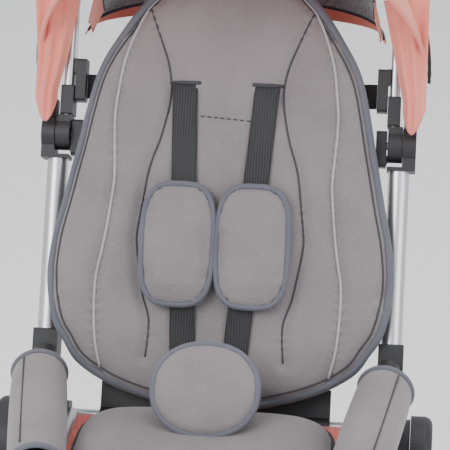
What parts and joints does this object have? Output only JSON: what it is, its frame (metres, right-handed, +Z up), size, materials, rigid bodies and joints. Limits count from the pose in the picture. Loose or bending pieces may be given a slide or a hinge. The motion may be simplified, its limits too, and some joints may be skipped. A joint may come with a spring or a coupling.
{
  "type": "baby stroller",
  "caption": "Folding single-seat baby stroller with an egg-shaped padded liner, harness, padded bumper bar, folding canopy, basket and swivelling front casters.",
  "frame": {"origin": "on the floor, at the centre of the footprint", "axes": "+Z up, -Y is the way the stroller travels, +X across the axles"},
  "size_m": [0.516, 0.7034, 1.0948],
  "materials": {
    "tube_aluminium": "satin anodised",
    "steel": "turned",
    "black_plastic": "moulded matt",
    "rib_grey": "satin",
    "rim_grey": "moulded",
    "tyre_black": "matt",
    "canopy_coral": "plain weave",
    "coral_mesh": "open mesh",
    "webbing_black": "ribbed webbing",
    "knit_grey": "fine knit",
    "seat_grey": "fine knit",
    "grip_foam": "closed foam"
  },
  "bodies": {
    "frame": {"main_tube_left": "tube_aluminium", "main_tube_right": "tube_aluminium", "front_cross_tube": "tube_aluminium", "front_leg_ends": "black_plastic", "fold_discs_inner": "black_plastic", "fold_pins": "steel", "hinge_leaves": "black_plastic", "hinge_pins": "steel", "canopy_rib": "rib_grey", "canopy_pins": "steel", "canopy_rear_panel": "canopy_coral", "canopy_side_flaps": "canopy_coral", "seat_frame": "tube_aluminium", "seat_brackets": "black_plastic", "seat_base": "coral_mesh", "seat_cushion": "seat_grey", "bumper_brackets": "black_plastic", "crotch_pad": "knit_grey", "harness_buckle": "black_plastic", "crotch_strap": "webbing_black", "foot_board": "black_plastic", "basket": "seat_grey", "basket_straps": "webbing_black"},
    "rear_legs": {"fold_discs_outer": "black_plastic", "rear_leg_left": "tube_aluminium", "rear_leg_right": "tube_aluminium", "rear_hubs": "black_plastic", "rear_axles": "steel", "rear_cross_tube": "tube_aluminium"},
    "handle": {"handle_tube": "tube_aluminium", "handle_grip": "grip_foam", "hinge_rotors": "black_plastic", "lock_cases": "black_plastic", "strap_clips": "black_plastic", "recline_strap_ends": "webbing_black"},
    "canopy": {"canopy_bow": "black_plastic", "canopy_roof": "canopy_coral"},
    "backrest": {"backrest_board": "black_plastic", "backrest_liner": "knit_grey", "liner_wings": "knit_grey", "recline_strap": "webbing_black", "harness_straps": "webbing_black", "shoulder_pads": "knit_grey"},
    "bumper": {"bumper_bar": "black_plastic", "bumper_sleeves": "knit_grey"},
    "leg_rest": {"leg_rest": "seat_grey"},
    "caster_left": {"caster_fork_left": "black_plastic"},
    "front_wheels_left": {"front_rims_left": "rim_grey", "front_tyres_left": "tyre_black"},
    "rear_wheel_left": {"rear_rim_left": "rim_grey", "rear_tyre_left": "tyre_black"},
    "brake_pedal_left": {"brake_pedal_left": "black_plastic"},
    "lock_collar_left": {"lock_collar_left": "black_plastic"},
    "caster_right": {"caster_fork_right": "black_plastic"},
    "front_wheels_right": {"front_rims_right": "rim_grey", "front_tyres_right": "tyre_black"},
    "rear_wheel_right": {"rear_rim_right": "rim_grey", "rear_tyre_right": "tyre_black"},
    "brake_pedal_right": {"brake_pedal_right": "black_plastic"},
    "lock_collar_right": {"lock_collar_right": "black_plastic"}
  },
  "joints": [
    {"name": "rear_leg_fold", "type": "hinge", "parent": "frame", "child": "rear_legs", "pos_m": [0, -0.1, 0.52019], "axis": [1, 0, 0], "range_deg": [-45, 0]},
    {"name": "handle_fold", "type": "hinge", "parent": "frame", "child": "handle", "pos_m": [0, 0.0635, 0.80338], "axis": [1, 0, 0], "range_deg": [-110, 0]},
    {"name": "canopy_fold", "type": "hinge", "parent": "frame", "child": "canopy", "pos_m": [0, 0.1025, 0.87093], "axis": [1, 0, 0], "range_deg": [-12, 25]},
    {"name": "backrest_recline", "type": "hinge", "parent": "frame", "child": "backrest", "pos_m": [0, -0.0788, 0.5449], "axis": [-1, 0, 0], "range_deg": [0, 35], "deforming": ["liner_wings"]},
    {"name": "leg_rest_tilt", "type": "hinge", "parent": "frame", "child": "leg_rest", "pos_m": [0, -0.318, 0.548], "axis": [1, 0, 0], "range_deg": [-60, 0]},
    {"name": "bumper_slide", "type": "slide", "parent": "frame", "child": "bumper", "axis": [0, -0.9925, -0.1219], "range_m": [0, 0.022]},
    {"name": "caster_swivel_left", "type": "hinge", "parent": "frame", "child": "caster_left", "pos_m": [-0.18, -0.302, 0.13], "axis": [0, 0, 1], "continuous": true},
    {"name": "front_wheels_spin_left", "type": "hinge", "parent": "caster_left", "child": "front_wheels_left", "pos_m": [-0.18, -0.272, 0.07], "axis": [1, 0, 0], "continuous": true},
    {"name": "rear_wheel_spin_left", "type": "hinge", "parent": "rear_legs", "child": "rear_wheel_left", "pos_m": [-0.242, 0.2597, 0.09], "axis": [1, 0, 0], "continuous": true},
    {"name": "brake_pedal_press_left", "type": "hinge", "parent": "rear_legs", "child": "brake_pedal_left", "pos_m": [-0.19, 0.2597, 0.09], "axis": [1, 0, 0], "range_deg": [-22, 0]},
    {"name": "lock_collar_slide_left", "type": "slide", "parent": "handle", "child": "lock_collar_left", "axis": [0, 0.5, 0.866], "range_m": [0, 0.012]},
    {"name": "caster_swivel_right", "type": "hinge", "parent": "frame", "child": "caster_right", "pos_m": [0.18, -0.302, 0.13], "axis": [0, 0, 1], "continuous": true},
    {"name": "front_wheels_spin_right", "type": "hinge", "parent": "caster_right", "child": "front_wheels_right", "pos_m": [0.18, -0.272, 0.07], "axis": [1, 0, 0], "continuous": true},
    {"name": "rear_wheel_spin_right", "type": "hinge", "parent": "rear_legs", "child": "rear_wheel_right", "pos_m": [0.242, 0.2597, 0.09], "axis": [1, 0, 0], "continuous": true},
    {"name": "brake_pedal_press_right", "type": "hinge", "parent": "rear_legs", "child": "brake_pedal_right", "pos_m": [0.19, 0.2597, 0.09], "axis": [1, 0, 0], "range_deg": [-22, 0]},
    {"name": "lock_collar_slide_right", "type": "slide", "parent": "handle", "child": "lock_collar_right", "axis": [0, 0.5, 0.866], "range_m": [0, 0.012]}
  ]
}
